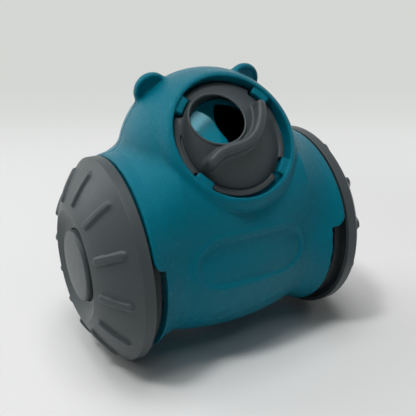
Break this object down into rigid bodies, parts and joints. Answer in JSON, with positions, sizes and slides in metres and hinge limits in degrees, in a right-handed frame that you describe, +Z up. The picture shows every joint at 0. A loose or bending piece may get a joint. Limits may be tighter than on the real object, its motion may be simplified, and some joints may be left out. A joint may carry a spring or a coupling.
{
  "type": "treat dispensing dog toy",
  "caption": "Self-righting treat dispensing dog toy: a weighted drum with a small bear head between ribbed wheels, with a twist lid that sets the treat hole.",
  "frame": {"origin": "on the floor under the middle of the axle, midway between the wheels", "axes": "+X along the axle to the toy's right wheel as seen from the front, -Y the way the face and the treat hole look, +Z up"},
  "size_m": [0.1358, 0.0916, 0.1255],
  "materials": {
    "teal_shell": "fine satin",
    "teal_gloss": "polished",
    "grey_trim": "satin",
    "dark_plastic": "satin",
    "nylon": "satin",
    "steel": "turned",
    "cast_iron": "as cast"
  },
  "bodies": {
    "body": {"front_shell": "teal_shell", "rear_shell": "teal_shell", "ballast": "cast_iron", "ballast_tray": "dark_plastic", "tray_screw_1": "steel", "tray_screw_2": "steel", "tray_screw_3": "steel", "tray_screw_4": "steel", "closing_screw_1": "steel", "closing_screw_2": "steel", "closing_screw_3": "steel", "closing_screw_4": "steel", "left_stub_axle": "steel", "left_axle_washer": "steel", "left_axle_screw": "steel", "right_stub_axle": "steel", "right_axle_washer": "steel", "right_axle_screw": "steel"},
    "left_wheel": {"left_wheel_cover": "grey_trim", "left_wheel_drum": "dark_plastic", "left_hub_cap": "grey_trim", "left_bush": "nylon"},
    "right_wheel": {"right_wheel_cover": "grey_trim", "right_wheel_drum": "dark_plastic", "right_hub_cap": "grey_trim", "right_bush": "nylon"},
    "shutter": {"flow_shutter": "teal_gloss"},
    "lid": {"lid": "grey_trim"}
  },
  "joints": [
    {"name": "left_wheel_spin", "type": "hinge", "parent": "body", "child": "left_wheel", "pos_m": [-0.052, 0, 0.04578], "axis": [1, 0, 0], "continuous": true},
    {"name": "right_wheel_spin", "type": "hinge", "parent": "body", "child": "right_wheel", "pos_m": [0.052, 0, 0.04578], "axis": [1, 0, 0], "continuous": true},
    {"name": "lid_lift", "type": "slide", "parent": "body", "child": "shutter", "axis": [0, -0.7986, 0.6018], "range_m": [0, 0.04]},
    {"name": "lid_twist", "type": "hinge", "parent": "shutter", "child": "lid", "pos_m": [0, -0.0231, 0.10138], "axis": [0, -0.7986, 0.6018], "range_deg": [-137, 43]}
  ]
}
